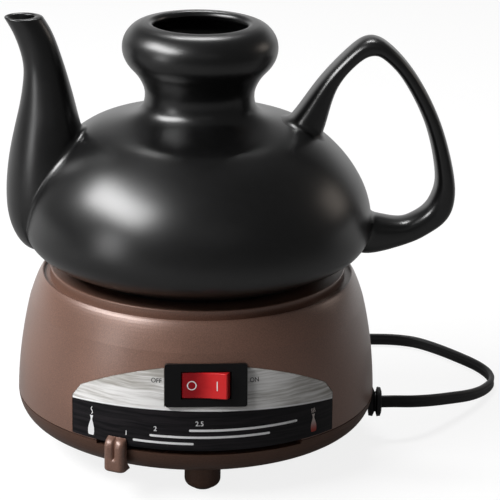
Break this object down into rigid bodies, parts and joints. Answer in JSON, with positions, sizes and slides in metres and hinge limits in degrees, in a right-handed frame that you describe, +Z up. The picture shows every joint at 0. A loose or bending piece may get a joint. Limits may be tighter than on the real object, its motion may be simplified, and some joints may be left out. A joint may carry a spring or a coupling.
{
  "type": "sake warmer",
  "caption": "Glazed pot with a swan-neck spout and loop handle that lifts off a round electric warming base with rocker switch, temperature lever and coiled flat cord",
  "frame": {"origin": "under the middle of the outline of pot and base, on the surface the object stands on", "axes": "+Z up; the front panel faces -Y, the spout points to -X and the handle to +X; the base's own axis is 14.35 mm to -X of the origin"},
  "size_m": [0.2263, 0.2654, 0.1889],
  "materials": {
    "black_glaze": "glossy black glaze",
    "brown_shell": "satin metallic brown",
    "brown_tray": "satin dark brown",
    "front_panel": "printed, silver above and black below",
    "black_plastic": "fine grain",
    "red_lens": "glossy",
    "aluminium": "cast, turned face",
    "element": "dull",
    "steel": "zinc plated",
    "white_ceramic": "unglazed",
    "brass": "plain",
    "rubber": "satin"
  },
  "bodies": {
    "base": {"upper_housing": "brown_shell", "bottom_tray": "brown_tray", "foot_pads": "rubber", "collar_ring": "brown_shell", "control_panel": "front_panel", "switch_plate": "black_plastic", "heater_plate": "aluminium", "heating_element": "element", "heat_shield": "steel", "shield_screws": "steel", "thermostat": "white_ceramic", "thermostat_screws": "steel", "thermal_fuse": "white_ceramic", "fuse_clip": "steel", "collar_screws": "steel", "switch_body": "black_plastic", "switch_terminals": "brass", "terminal_block": "white_ceramic", "inner_cord": "rubber", "cord_bush": "rubber", "housing_screws": "steel", "cord_lead": "rubber", "cord_coil": "rubber", "cord_tail": "rubber", "cord_tie": "rubber", "plug_body": "rubber", "plug_blades": "brass"},
    "pot": {"pot_floor": "black_glaze", "pot_body": "black_glaze", "pot_shoulder": "black_glaze", "pot_neck": "black_glaze", "pot_spout": "black_glaze", "pot_handle": "black_glaze"},
    "lever": {"thermostat_spindle": "steel", "lever_arm": "steel", "spindle_clip": "steel", "temperature_knob": "brown_shell"},
    "rocker": {"rocker": "red_lens"}
  },
  "joints": [
    {"name": "pot_lift", "type": "slide", "parent": "base", "child": "pot", "axis": [0, 0, 1], "range_m": [0, 0.15]},
    {"name": "lever_turn", "type": "hinge", "parent": "base", "child": "lever", "pos_m": [-0.01435, 0, 0.023], "axis": [0, 0, 1], "range_deg": [0, 55]},
    {"name": "rocker_tilt", "type": "hinge", "parent": "base", "child": "rocker", "pos_m": [-0.01435, -0.07371, 0.05193], "axis": [0, 0.1723, 0.985], "range_deg": [0, 22]}
  ]
}
